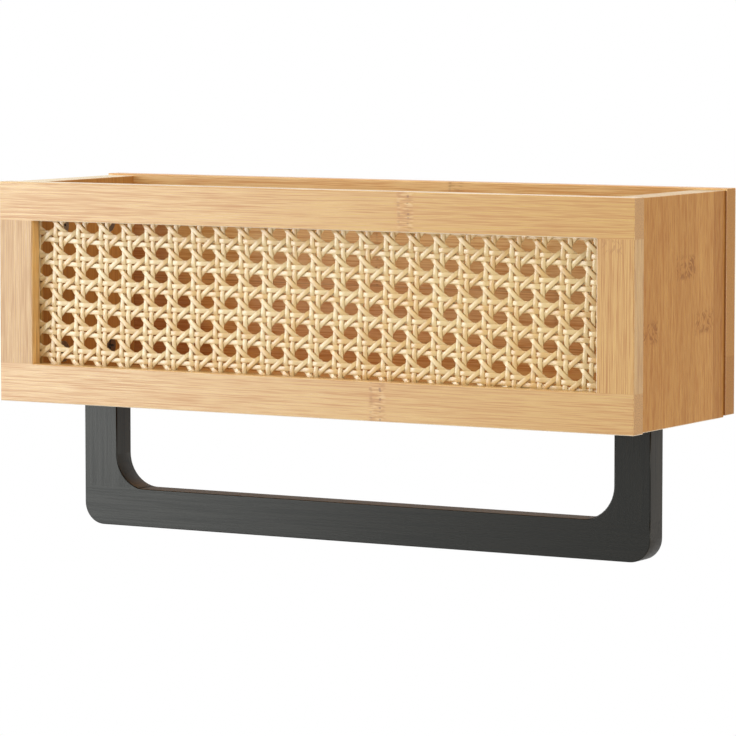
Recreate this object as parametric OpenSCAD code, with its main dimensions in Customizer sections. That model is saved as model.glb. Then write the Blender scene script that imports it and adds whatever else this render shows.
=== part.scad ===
// Wall shelf: an open bamboo box with a caned front and a black towel bar hung under its floor.
// The origin is the centre of the back board's rear face. +X is right, +Y goes into the wall
// and +Z is up, so the caned front faces -Y.

/* [Box] */
// Width across the front frame and the back board
box_w = 400; // [320:1:560]
// Height of the front frame
front_h = 124; // [110:1:170]
// Depth from the front frame's face to the wall
box_d = 122; // [110:1:170]
// Thickness of the front frame
frame_t = 11; // [10.5:0.5:15]
// Thickness of the back board
back_t = 11; // [10:0.5:15]
// Thickness of a side board
side_t = 17; // [16:0.5:18]
// Radius of the eased edges on every board
ease_r = 0.6; // [0.4:0.1:2]
// How far a side board stands in from the ends of the front frame and the back board
side_reveal = 1.1; // [0.5:0.1:3]
// How far a side board stops short of the front frame's top and bottom edges
side_short = 0.4; // [0.2:0.1:2]
// How much higher the back board sits than the side boards
back_lift = 1; // [0:0.1:2]

/* [Front frame] */
// Height of the top and bottom rails
rail_h = 21.7; // [20:0.1:30]
// Width of the left and right stiles
stile_w = 22.2; // [20:0.1:30]
// Radius of the eased front edge round the opening
opening_r = 0.6; // [0.3:0.1:1.5]
// Diameter of the dowels between rails and stiles
frame_dowel_d = 4; // [3:0.5:5]
// Length of these dowels
frame_dowel_l = 20; // [12:1:24]
// Distance between the two dowels of one joint, which stand either side of the cam bolt's line
frame_dowel_gap = 11; // [10.6:0.1:12]
// Depth of these dowels behind the front face
frame_dowel_in = 4; // [3.5:0.1:4.5]

/* [Cane] */
// Thickness of the woven cane
cane_t = 2; // [1:0.1:2.5]
// Thickness of the beads that hold the cane in its rebate
bead_t = 2; // [1:0.1:2.5]
// Width of the rebate round the opening
rebate_w = 5.6; // [4:0.1:7]
// Distance between the holes of a row
cane_pitch_x = 15.35; // [12:0.05:20]
// Distance between the rows of holes
cane_pitch_z = 13.1; // [10:0.05:18]
// Width of one eight-sided hole
cane_hole_w = 8.2; // [5:0.1:10]
// Height of one eight-sided hole
cane_hole_h = 6.7; // [4:0.1:8]
// How much of a hole's corners the slanting strands cut off
cane_hole_cut = 2.1; // [1:0.1:2.4]
// From the opening's left edge to the first column of holes
cane_first_x = 4.6; // [4.5:0.1:10]
// From the opening's top edge to the first row of holes
cane_first_z = 3.6; // [3.4:0.1:8]

/* [Floor] */
// Thickness of the floor board
floor_t = 9; // [6:0.5:12]
// From the side boards' lower edges to the floor's underside
floor_up = 3.6; // [2:0.1:5]
// Depth of the floor's grooves in the frame and the back board
groove_in = 4; // [3:0.1:5]
// Depth of the floor's grooves in the side boards
side_groove_in = 5; // [3:0.1:7]

/* [Corner fittings] */
// Diameter of a cam
cam_d = 12; // [10:0.5:14]
// Depth of a cam
cam_h = 11; // [10:0.5:13]
// From the inner face of a side board to the axis of the cam bolts
cam_axis_in = 8; // [7:0.1:9]
// From the end of a side board to the middle of a cam
cam_set = 26; // [20:0.5:34]
// From a side board's top or bottom edge to the middle of a cam
cam_edge = 25.6; // [22:0.1:34]
// Diameter of a cam bolt's thread, in the frame or the back board
cam_thread_d = 5; // [4:0.5:6]
// Length of a cam bolt's thread
cam_thread_l = 8; // [6:0.5:8.5]
// Diameter of a cam bolt's shank, in the side board
cam_shank_d = 5.6; // [4.6:0.1:6]
// Diameter of a cam bolt's head
cam_head_d = 6; // [5:0.1:6.4]
// Diameter of the wooden dowel between two cams
board_dowel_d = 6; // [5:0.5:8]
// How deep that dowel goes into the frame or the back board
board_dowel_in = 7; // [5:0.5:8]
// How deep it goes into the side board
board_dowel_side = 15; // [10:0.5:20]

/* [Towel bar] */
// From the front frame's lower edge to the bar's underside
bar_drop = 74.7; // [60:0.1:120]
// Height of the bar
bar_h = 21.8; // [16:0.1:28]
// Width of a leg
leg_w = 21.9; // [18:0.1:28]
// Thickness of the bar and the legs
towel_t = 15; // [12:0.5:20]
// From the wall to the middle of the bar
towel_in = 57; // [46:0.5:62]
// Gap between a leg and the side board beside it
leg_gap = 0.5; // [0.1:0.1:2]
// Outer radius of the two lower corners
corner_out = 12.5; // [8:0.5:16]
// Inner radius of the two lower corners
corner_in = 19; // [10:0.5:24]
// How far the legs' glued joints lie above the bar's top, inside the round corners
joint_up = 0.3; // [0.2:0.1:8]
// Diameter of the dowel in each glued joint
leg_dowel_d = 6; // [4:0.5:8]
// Length of that dowel
leg_dowel_l = 24; // [16:1:32]

/* [Leg screws] */
// Length of a screw through the floor into a leg
leg_screw_l = 30; // [24:1:40]
// Diameter of its shank
leg_screw_d = 3.8; // [3:0.1:5]
// Diameter of its head
leg_screw_head = 7.4; // [6:0.1:8.4]
// Distance between the two screws of a leg
leg_screw_gap = 10; // [9:0.5:11]

/* [Wall hangers] */
// Length of a hanger plate
hanger_l = 46; // [40:1:60]
// Height of a hanger plate
hanger_h = 20; // [18:1:26]
// Thickness of a hanger plate
hanger_t = 1.5; // [1:0.1:2]
// From the back board's end to the middle of a hanger plate
hanger_in = 50; // [36:1:80]
// From the back board's top edge to the middle of a plate
hanger_down = 22; // [16:1:40]
// Diameter of the keyhole's round entry, for a screw's head
key_d = 9; // [8:0.1:10]
// Width of the keyhole's slot, for a screw's neck
key_slot_w = 4.6; // [4:0.1:5]
// From the round entry's middle to the top of the slot's run
key_run = 8; // [7:0.5:9]
// Depth of the pocket for the screw's head, behind the plate
key_pocket = 4.5; // [4:0.1:5]
// Length of a hanger's fixing screw
hanger_screw_l = 8; // [6:0.5:8]
// Diameter of its shank
hanger_screw_d = 3; // [2.5:0.1:3.4]
// Diameter of its head
hanger_screw_head = 5.6; // [5:0.1:6]
// Distance between the two fixing screws of a plate
hanger_screw_gap = 34; // [30:1:36]

/* [Hidden] */
$fn = 48;

// Play left round a pin in its bore and round a board's tongue in its groove
fit = 0.1;
tongue_fit = 0.2;
// Extra length of a cut that runs out of a solid
past = 1;

// Boards, in the shelf's frame
hw = box_w / 2;
box_z = -back_lift;
frame_back_y = -box_d + frame_t;
side_h = front_h - 2 * side_short;
side_out_x = hw - side_reveal;
side_in_x = side_out_x - side_t;
frame_z0 = box_z - front_h / 2;
side_z0 = box_z - side_h / 2;
back_z1 = side_h / 2;

// Opening in the front frame
open_w = box_w - 2 * stile_w;
open_h = front_h - 2 * rail_h;
rebate_d = cane_t + bead_t;
cane_w = open_w + 2 * rebate_w - 2 * fit;
cane_h = open_h + 2 * rebate_w - 2 * fit;
cane_y0 = frame_back_y - rebate_d;
cane_edge = 0.2;

// Floor
floor_z0 = side_z0 + floor_up;
floor_z1 = floor_z0 + floor_t;
floor_reach_x = side_in_x + side_groove_in;

// Corner fittings
cam_x = side_in_x + cam_axis_in;
cam_front_y = frame_back_y + cam_set;
cam_back_y = -back_t - cam_set;
cam_rise = side_h / 2 - cam_edge;
board_dowel_x = side_out_x - side_t / 2;
cam_head_rim = 1.2;
cam_head_l = 2;
cam_neck_d = cam_head_d - 2 * cam_head_rim;
cam_neck_end = cam_d / 2 + 2 * fit;
cam_cross_l = 7;
cam_cross_w = 1.3;
cam_cross_d = 2;

// Towel bar
towel_w = 2 * (side_in_x - leg_gap);
bar_z0 = frame_z0 - bar_drop;
joint_z = bar_z0 + bar_h + joint_up;
leg_x = towel_w / 2 - leg_w / 2;

// Screws: rim of a countersunk head, and its driver cross as shares of the head
screw_rim = 0.4;
cross_l = 0.55;
cross_w = 0.14;
cross_d = 0.25;

// Hangers
hanger_x = hw - hanger_in;
hanger_z = back_z1 - hanger_down;
hanger_round = 3;
key_room = 2;

// Colours
light_bamboo = "#E3BD87";
bamboo = "#C4955E";
inner_bamboo = "#C99A5E";
straw = "#E9D5A6";
black_stain = "#4A4842";
beech = "#D9B98A";
zinc = "#77746E";
steel = "#B9B9B6";

// Flat rectangle with round corners, centred
module round_rect(w, h, r) {
    square([w - 2 * r, h], center = true);
    square([w, h - 2 * r], center = true);
    for (x = [-1, 1], y = [-1, 1])
        translate([x * (w / 2 - r), y * (h / 2 - r)]) circle(r = r);
}

// Block with eased edges between two corners
module eased_block(low, high) {
    size = high - low;
    translate((low + high) / 2)
        intersection() {
            linear_extrude(size.z, center = true) round_rect(size.x, size.y, ease_r);
            rotate([90, 0, 0]) linear_extrude(size.y, center = true) round_rect(size.x, size.z, ease_r);
            rotate([90, 0, 90]) linear_extrude(size.x, center = true) round_rect(size.y, size.z, ease_r);
        }
}

// Plain block between two corners
module block(low, high) {
    translate(low) cube(high - low);
}

// Bore or pin along Y, from y0 to y1
module along_y(x, z, d, y0, y1) {
    translate([x, y0, z]) rotate([-90, 0, 0]) cylinder(d = d, h = y1 - y0);
}

// Bore or pin along Z, from z0 to z1
module along_z(x, y, d, z0, z1) {
    translate([x, y, z0]) cylinder(d = d, h = z1 - z0);
}

// Front frame
module frame_slab() {
    eased_block([-hw, -box_d, frame_z0], [hw, frame_back_y, frame_z0 + front_h]);
}

module rebate() {
    w = open_w / 2 + rebate_w;
    h = open_h / 2 + rebate_w;
    block([-w, cane_y0, box_z - h], [w, frame_back_y + past, box_z + h]);
}

// Cutter that eases an edge along +X from the origin, with the board above and behind it
module edge_cutter(l) {
    rotate([90, 0, 90])
        linear_extrude(l)
            difference() {
                translate([-past, -past]) square(opening_r + past);
                translate([opening_r, opening_r]) circle(r = opening_r);
            }
}

module opening_ease() {
    translate([-open_w / 2, -box_d, box_z])
        for (up = [0, 1])
            mirror([0, 0, up]) translate([0, 0, open_h / 2]) edge_cutter(open_w);
    translate([0, -box_d, box_z - open_h / 2])
        for (left = [0, 1])
            mirror([left, 0, 0]) translate([open_w / 2, 0, 0])
                mirror([1, 0, -1]) edge_cutter(open_h);
}

module floor_grooves(y_front, y_back) {
    block([-floor_reach_x, y_front, floor_z0], [floor_reach_x, y_back, floor_z1]);
}

// The pins of one joint between a rail and a stile, at both ends of the rail
module frame_pins(top, play) {
    mid = box_z + top * open_h / 2;
    for (side = [-1, 1], k = [-1, 1])
        along_z(side * cam_x + k * frame_dowel_gap / 2, -box_d + frame_dowel_in,
                frame_dowel_d + 2 * play, mid - frame_dowel_l / 2 - play, mid + frame_dowel_l / 2 + play);
}

module front_rail(top) {
    edge = box_z + top * open_h / 2;
    far = box_z + top * (front_h / 2 + past);
    color(light_bamboo)
        difference() {
            intersection() {
                frame_slab();
                block([-hw - past, -box_d - past, min(edge, far)], [hw + past, past, max(edge, far)]);
            }
            rebate();
            opening_ease();
            frame_pins(top, fit);
            cam_bolt_bores();
            if (top < 0) floor_grooves(frame_back_y - groove_in, frame_back_y + past);
        }
}

module front_stile(side) {
    inner = side * open_w / 2;
    far = side * (hw + past);
    color(light_bamboo)
        difference() {
            intersection() {
                frame_slab();
                block([min(inner, far), -box_d - past, box_z - open_h / 2],
                      [max(inner, far), past, box_z + open_h / 2]);
            }
            rebate();
            opening_ease();
            frame_pins(-1, fit);
            frame_pins(1, fit);
            cam_bolt_bores();
            board_pins(fit);
        }
}

module front_top_rail() { front_rail(1); }
module front_bottom_rail() { front_rail(-1); }
module front_left_stile() { front_stile(-1); }
module front_right_stile() { front_stile(1); }

module frame_dowels() {
    color(beech) {
        frame_pins(-1, 0);
        frame_pins(1, 0);
    }
}

// Cane and its beads
module cane_hole() {
    w = cane_hole_w / 2;
    h = cane_hole_h / 2;
    c = cane_hole_cut;
    polygon([[-w, -h + c], [-w + c, -h], [w - c, -h], [w, -h + c],
             [w, h - c], [w - c, h], [-w + c, h], [-w, h - c]]);
}

module cane_panel() {
    x0 = -open_w / 2 + cane_first_x;
    z0 = box_z + open_h / 2 - cane_first_z;
    x_last = cane_w / 2 - cane_hole_w / 2 - cane_edge;
    z_last = box_z - cane_h / 2 + cane_hole_h / 2 + cane_edge;
    color(straw)
        translate([0, cane_y0 + cane_t, 0])
            rotate([90, 0, 0])
                linear_extrude(cane_t)
                    difference() {
                        translate([0, box_z]) square([cane_w, cane_h], center = true);
                        for (x = [x0 : cane_pitch_x : x_last], z = [z0 : -cane_pitch_z : z_last])
                            translate([x, z]) cane_hole();
                    }
}

module cane_bead(top) {
    edge = box_z + top * open_h / 2;
    far = edge + top * (rebate_w - fit);
    color(light_bamboo)
        block([-cane_w / 2, cane_y0 + cane_t, min(edge, far)], [cane_w / 2, frame_back_y, max(edge, far)]);
}

module cane_side_bead(side) {
    edge = side * open_w / 2;
    far = side * cane_w / 2;
    color(light_bamboo)
        block([min(edge, far), cane_y0 + cane_t, box_z - open_h / 2],
              [max(edge, far), frame_back_y, box_z + open_h / 2]);
}

module cane_bead_top() { cane_bead(1); }
module cane_bead_bottom() { cane_bead(-1); }
module cane_bead_left() { cane_side_bead(-1); }
module cane_bead_right() { cane_side_bead(1); }

// Corner fittings: two cams with a dowel between them at each end of a side board
module at_cams() {
    for (z = [box_z - cam_rise, box_z + cam_rise]) {
        translate([cam_x, cam_front_y, z]) children();
        translate([cam_x, cam_back_y, z]) mirror([0, 1, 0]) children();
    }
}

module both_sides() {
    children();
    mirror([1, 0, 0]) children();
}

// One cam, its bolt axis along Y through the origin, its driver cross facing -X
module cam() {
    difference() {
        translate([-cam_axis_in, 0, 0]) rotate([0, 90, 0]) cylinder(d = cam_d, h = cam_h);
        along_y(0, 0, cam_head_d + 2 * fit, -cam_head_l / 2 - fit, cam_head_l / 2 + fit);
        along_y(0, 0, cam_neck_d + 2 * fit, -cam_d, 0);
        along_z(0, 0, cam_head_d + 2 * fit, 0, cam_d);
        for (turn = [0, 90])
            translate([-cam_axis_in, 0, 0]) rotate([turn, 0, 0])
                cube([2 * cam_cross_d, cam_cross_l, cam_cross_w], center = true);
    }
}

// One cam bolt, its head at the origin and its thread towards -Y
module cam_bolt() {
    rotate([90, 0, 0])
        rotate_extrude()
            polygon([[0, -cam_head_l / 2], [cam_head_d / 2, -cam_head_l / 2], [cam_head_d / 2, cam_head_l / 2],
                     [cam_neck_d / 2, cam_head_l / 2], [cam_neck_d / 2, cam_neck_end],
                     [cam_shank_d / 2, cam_neck_end], [cam_shank_d / 2, cam_set],
                     [cam_thread_d / 2, cam_set], [cam_thread_d / 2, cam_set + cam_thread_l],
                     [0, cam_set + cam_thread_l]]);
}

module cam_bores() {
    both_sides() at_cams() {
        translate([-cam_axis_in - past, 0, 0])
            rotate([0, 90, 0]) cylinder(d = cam_d + 2 * fit, h = cam_h + past + fit);
        along_y(0, 0, cam_head_d + 4 * fit, -cam_set - past, 0);
    }
}

module cam_bolt_bores() {
    both_sides() at_cams()
        along_y(0, 0, cam_thread_d + 2 * fit, -cam_set - cam_thread_l - fit, -cam_set + past);
}

module board_pins(play) {
    both_sides() {
        along_y(board_dowel_x, box_z, board_dowel_d + 2 * play,
                frame_back_y - board_dowel_in - play, frame_back_y + board_dowel_side + play);
        along_y(board_dowel_x, box_z, board_dowel_d + 2 * play,
                -back_t - board_dowel_side - play, -back_t + board_dowel_in + play);
    }
}

module cam_locks() { color(zinc) both_sides() at_cams() cam(); }
module cam_bolts() { color(steel) both_sides() at_cams() cam_bolt(); }
module board_dowels() { color(beech) board_pins(0); }

// Side boards, back board and floor
module side_board(side) {
    x = [side_in_x, side_out_x] * side;
    color(bamboo)
        difference() {
            eased_block([min(x), frame_back_y, side_z0], [max(x), -back_t, side_z0 + side_h]);
            cam_bores();
            board_pins(fit);
            floor_grooves(frame_back_y - past, -back_t + past);
        }
}

module left_side_board() { side_board(-1); }
module right_side_board() { side_board(1); }

module back_board() {
    color(inner_bamboo)
        difference() {
            eased_block([-hw, -back_t, -back_z1], [hw, 0, back_z1]);
            cam_bolt_bores();
            board_pins(fit);
            floor_grooves(-back_t - past, -back_t + groove_in);
            both_sides() at_hanger() hanger_recess();
        }
}

module floor_board() {
    color(inner_bamboo)
        difference() {
            block([-floor_reach_x + tongue_fit, frame_back_y - groove_in + tongue_fit, floor_z0],
                  [floor_reach_x - tongue_fit, -back_t + groove_in - tongue_fit, floor_z1]);
            at_leg_screws() csk_screw(leg_screw_l, leg_screw_d + 2 * fit, leg_screw_head + 2 * fit, false);
        }
}

// Countersunk screw with its flat head at the origin, pointing down -Z
module csk_screw(l, d, head, driver) {
    cone = (head - d) / 2;
    tip = d / 2;
    difference() {
        rotate_extrude()
            polygon([[0, 0], [head / 2, 0], [head / 2, -screw_rim], [d / 2, -screw_rim - cone],
                     [d / 2, -l + tip], [0, -l]]);
        if (driver)
            for (turn = [0, 90])
                rotate([0, 0, turn]) cube(head * [cross_l, cross_w, 2 * cross_d], center = true);
    }
}

// Towel bar and legs, one outline cut at the glued joints
module u_outline() {
    top = floor_z0;
    r = corner_out;
    ri = corner_in;
    inner = towel_w / 2 - leg_w;
    difference() {
        union() {
            translate([-towel_w / 2, bar_z0 + r]) square([towel_w, top - bar_z0 - r]);
            translate([-towel_w / 2 + r, bar_z0]) square([towel_w - 2 * r, r + past]);
            for (side = [-1, 1]) translate([side * (towel_w / 2 - r), bar_z0 + r]) circle(r = r);
        }
        translate([-inner, bar_z0 + bar_h + ri]) square([2 * inner, top - bar_z0 + past]);
        translate([-inner + ri, bar_z0 + bar_h]) square([2 * (inner - ri), ri + past]);
        for (side = [-1, 1]) translate([side * (inner - ri), bar_z0 + bar_h + ri]) circle(r = ri);
    }
}

module towel_piece(x0, x1, z0, z1) {
    color(black_stain)
        difference() {
            translate([0, -towel_in + towel_t / 2, 0])
                rotate([90, 0, 0])
                    linear_extrude(towel_t)
                        intersection() {
                            u_outline();
                            translate([x0, z0]) square([x1 - x0, z1 - z0]);
                        }
            leg_pins(fit);
            at_leg_screws() csk_screw(leg_screw_l + fit, leg_screw_d + 2 * fit, leg_screw_head, false);
        }
}

module leg_pins(play) {
    both_sides()
        along_z(leg_x, -towel_in, leg_dowel_d + 2 * play,
                joint_z - leg_dowel_l / 2 - play, joint_z + leg_dowel_l / 2 + play);
}

module at_leg_screws() {
    both_sides()
        for (k = [-1, 1])
            translate([leg_x + k * leg_screw_gap / 2, -towel_in, floor_z1]) children();
}

module towel_bar() { towel_piece(-towel_w / 2, towel_w / 2, bar_z0, joint_z); }
module left_leg() { towel_piece(-towel_w / 2, 0, joint_z, floor_z0); }
module right_leg() { towel_piece(0, towel_w / 2, joint_z, floor_z0); }
module leg_dowels() { color(beech) leg_pins(0); }
module leg_screws() { color(steel) at_leg_screws() csk_screw(leg_screw_l, leg_screw_d, leg_screw_head, true); }

// Wall hangers: keyhole plates let into the back board's rear face
module at_hanger() {
    translate([hanger_x, 0, hanger_z]) children();
}

// A hanger is drawn with the plate's rear face at y = 0; over is how far a cut runs out behind it
module plate_shape(play, over) {
    translate([0, over, 0])
        rotate([90, 0, 0])
            linear_extrude(hanger_t + over)
                round_rect(hanger_l + 2 * play, hanger_h + 2 * play, hanger_round);
}

module keyhole(entry_d, slot_d, y0, y1) {
    low = -key_run / 2;
    along_y(0, low, entry_d, y0, y1);
    along_y(0, low + key_run, slot_d, y0, y1);
    translate([-slot_d / 2, y0, low]) cube([slot_d, y1 - y0, key_run]);
}

module at_hanger_screws() {
    for (k = [-1, 1])
        translate([k * hanger_screw_gap / 2, 0, 0]) rotate([-90, 0, 0]) children();
}

module hanger_recess() {
    plate_shape(tongue_fit, past);
    keyhole(key_d + key_room, key_d + key_room, -hanger_t - key_pocket, past);
    at_hanger_screws() csk_screw(hanger_screw_l + fit, hanger_screw_d + 2 * fit, hanger_screw_head, false);
}

module hanger() {
    color(steel)
        at_hanger()
            difference() {
                plate_shape(0, 0);
                keyhole(key_d, key_slot_w, -hanger_t - past, past);
                at_hanger_screws()
                    csk_screw(hanger_screw_l, hanger_screw_d + 2 * fit, hanger_screw_head + 2 * fit, false);
            }
}

module left_hanger() { mirror([1, 0, 0]) hanger(); }
module right_hanger() { hanger(); }
module hanger_screws() {
    color(zinc)
        both_sides() at_hanger() at_hanger_screws()
            csk_screw(hanger_screw_l, hanger_screw_d, hanger_screw_head, true);
}

front_top_rail();
front_bottom_rail();
front_left_stile();
front_right_stile();
frame_dowels();
cane_panel();
cane_bead_top();
cane_bead_bottom();
cane_bead_left();
cane_bead_right();
left_side_board();
right_side_board();
back_board();
floor_board();
cam_locks();
cam_bolts();
board_dowels();
towel_bar();
left_leg();
right_leg();
leg_dowels();
leg_screws();
left_hanger();
right_hanger();
hanger_screws();
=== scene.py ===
# %% [markdown]
# # A bamboo wall shelf with a caned front
# The shelf is a small box without a lid. Its front is a bamboo frame filled with woven cane, and a
# black towel bar hangs under its floor. The boards and fittings come in as finished solids in real
# sizes, so this lesson is about three things: bamboo that looks like bamboo, cane that is really
# woven, and soft light that shows both.

import math

import bmesh
import bpy
from mathutils import Matrix, Vector, noise


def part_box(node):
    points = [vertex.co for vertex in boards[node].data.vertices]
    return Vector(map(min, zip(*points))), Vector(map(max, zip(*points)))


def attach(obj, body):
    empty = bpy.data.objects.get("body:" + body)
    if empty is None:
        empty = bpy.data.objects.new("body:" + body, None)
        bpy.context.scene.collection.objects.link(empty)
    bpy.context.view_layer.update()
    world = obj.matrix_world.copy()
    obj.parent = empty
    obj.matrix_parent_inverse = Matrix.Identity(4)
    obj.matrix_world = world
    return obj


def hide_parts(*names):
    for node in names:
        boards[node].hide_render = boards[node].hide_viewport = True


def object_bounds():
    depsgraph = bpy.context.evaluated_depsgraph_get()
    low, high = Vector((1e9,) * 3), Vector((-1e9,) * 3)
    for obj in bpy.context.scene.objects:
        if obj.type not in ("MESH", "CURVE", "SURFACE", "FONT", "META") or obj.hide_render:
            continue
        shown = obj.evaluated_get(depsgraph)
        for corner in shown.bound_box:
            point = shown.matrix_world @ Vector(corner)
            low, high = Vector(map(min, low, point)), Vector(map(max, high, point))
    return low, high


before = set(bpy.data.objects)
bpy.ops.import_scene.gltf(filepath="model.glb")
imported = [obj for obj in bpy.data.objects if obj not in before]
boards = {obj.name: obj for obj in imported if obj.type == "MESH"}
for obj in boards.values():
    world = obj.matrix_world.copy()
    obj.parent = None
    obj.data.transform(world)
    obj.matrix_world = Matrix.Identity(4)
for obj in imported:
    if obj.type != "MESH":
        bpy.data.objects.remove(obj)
cad_low, cad_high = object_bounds()
print("The shelf has", len(boards), "pieces and measures",
      [round(1000 * side, 1) for side in cad_high - cad_low], "mm")

# %% [markdown]
# ## Where the camera stands
# Product photographs of furniture are taken from far away with a long lens, so that upright edges
# stay upright. Here the camera is almost 2.5 m from the shelf, to its right and a little above it,
# and looks five degrees down. A camera looks along its own -Z, so it is first tipped up by almost a
# right angle and then turned about the vertical.

# %% Camera
camera_data = bpy.data.cameras.new("Long lens")
camera_data.sensor_width = 36.0
camera_data.lens = 212.29
camera = bpy.data.objects.new("Camera", camera_data)
camera.location = (1.20656, -2.13394, 0.16612)
camera.rotation_euler = (math.radians(90 - 4.924), 0.0, math.radians(30.099))
bpy.context.scene.collection.objects.link(camera)
bpy.context.scene.camera = camera
print("Camera", round((camera.location - (cad_low + cad_high) / 2).length, 2), "m from the shelf's middle")

# %% [markdown]
# ## Colours as given, light by number
# Shaders work with linear light, but a given colour is an sRGB value. One small helper turns
# the familiar six-digit notation into the numbers that a socket wants. Each material below is tuned
# until it renders like the real surface, so its codes are a little deeper than what is seen.

# %% Colour helper
def shade(code):
    """Linear colour for an sRGB code such as "E3BD87", with an opacity of 1 behind it."""
    parts = [int(code[i:i + 2], 16) / 255 for i in (0, 2, 4)]
    return [p / 12.92 if p <= 0.04045 else ((p + 0.055) / 1.055) ** 2.4 for p in parts] + [1.0]


print("Middle grey in linear light is", round(shade("808080")[0], 3))

# %% [markdown]
# ## A studio without walls
# The shelf hangs in plain white. The world is white only for rays that come straight from the camera
# or from a reflection, and a dim, slightly blue grey for the light that reaches the wood, so the
# background can be pure white without bleaching the boards. The floor lies far below, where the
# room's floor would be, and is treated the same way.

# %% World and floor
FLOOR_DROP, FLOOR_HALF = 0.9, 6.0
SKY_STRENGTH = 0.35


def is_seen(tree):
    """1 for camera, glossy and transmission rays, 0 for the rays that carry light."""
    rays = tree.nodes.new("ShaderNodeLightPath")
    seen = rays.outputs["Is Camera Ray"]
    for kind in ("Is Glossy Ray", "Is Transmission Ray"):
        either = tree.nodes.new("ShaderNodeMath")
        either.operation = "MAXIMUM"
        tree.links.new(seen, either.inputs[0])
        tree.links.new(rays.outputs[kind], either.inputs[1])
        seen = either.outputs[0]
    return seen


def white_when_seen(tree, dim_output, output, kind):
    """Shows plain white to the eye and keeps dim_output for the light."""
    white = tree.nodes.new("ShaderNodeEmission" if kind == "Surface" else "ShaderNodeBackground")
    white.inputs["Color"].default_value = (1, 1, 1, 1)
    white.inputs["Strength"].default_value = 1.0
    choice = tree.nodes.new("ShaderNodeMixShader")
    tree.links.new(is_seen(tree), choice.inputs[0])
    tree.links.new(dim_output, choice.inputs[1])
    tree.links.new(white.outputs[0], choice.inputs[2])
    tree.links.new(choice.outputs[0], output.inputs["Surface"])


world = bpy.data.worlds.new("Studio")
bpy.context.scene.world = world
world.use_nodes = True
sky = world.node_tree.nodes["Background"]
sky.inputs["Color"].default_value = (0.95, 0.97, 1.0, 1)
sky.inputs["Strength"].default_value = SKY_STRENGTH
white_when_seen(world.node_tree, sky.outputs[0], world.node_tree.nodes["World Output"], "World")

floor_mesh = bpy.data.meshes.new("Floor")
sheet = bmesh.new()
bmesh.ops.create_grid(sheet, x_segments=1, y_segments=1, size=FLOOR_HALF)
bmesh.ops.translate(sheet, verts=sheet.verts, vec=(0, 0, cad_low.z - FLOOR_DROP))
sheet.to_mesh(floor_mesh)
sheet.free()
floor = bpy.data.objects.new("Floor", floor_mesh)
bpy.context.scene.collection.objects.link(floor)

floor_paint = bpy.data.materials.new("Pale floor")
floor_paint.use_nodes = True
floor_shader = floor_paint.node_tree.nodes["Principled BSDF"]
floor_shader.inputs["Base Color"].default_value = (0.8, 0.8, 0.8, 1)
floor_shader.inputs["Roughness"].default_value = 0.7
white_when_seen(floor_paint.node_tree, floor_shader.outputs[0],
                floor_paint.node_tree.nodes["Material Output"], "Surface")
floor_mesh.materials.append(floor_paint)
bpy.context.scene.view_settings.view_transform = "Standard"
print("The floor lies", FLOOR_DROP, "m below the towel bar")

# %% [markdown]
# ## Three soft lamps
# The left end of the front is much brighter than the right end, and the black bar shines there. That
# is a large, slightly cool softbox at the front left: wood and stain mirror it towards the camera
# from the left end only. A panel above lights the tops of the boards, and a slightly warm one far
# out on the right lights the side board.

# %% Lamps
def softbox(name, place, target, width, height, power, tint=(1, 1, 1)):
    """Rectangular lamp at place, turned to face target."""
    data = bpy.data.lights.new(name, "AREA")
    data.shape = "RECTANGLE"
    data.size, data.size_y = width, height
    data.energy = power
    data.color = tint
    lamp = bpy.data.objects.new(name, data)
    lamp.location = place
    lamp.rotation_euler = (Vector(target) - Vector(place)).to_track_quat("-Z", "Y").to_euler()
    bpy.context.scene.collection.objects.link(lamp)
    print(name, "gives", power, "W from", round((Vector(target) - Vector(place)).length, 2), "m")


softbox("Front left softbox", (-1.78, -1.75, 0.25), (0, -0.06, 0), 1.3, 1.6, 42, (0.965, 1.0, 1.035))
softbox("Top panel", (0.1, -0.45, 1.9), (0.05, -0.06, 0), 1.4, 1.4, 26)
softbox("Right panel", (2.4, -0.9, 0.4), (0.1, -0.06, 0), 1.2, 1.2, 32, (1.0, 0.99, 0.96))

# %% [markdown]
# ## Short words for shader nodes
# A material is a tree of small nodes, and wood needs many of them. A helper object keeps one
# material's tree and has a short name for each node that this shelf uses, so that a recipe below
# reads almost like a formula.

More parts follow.
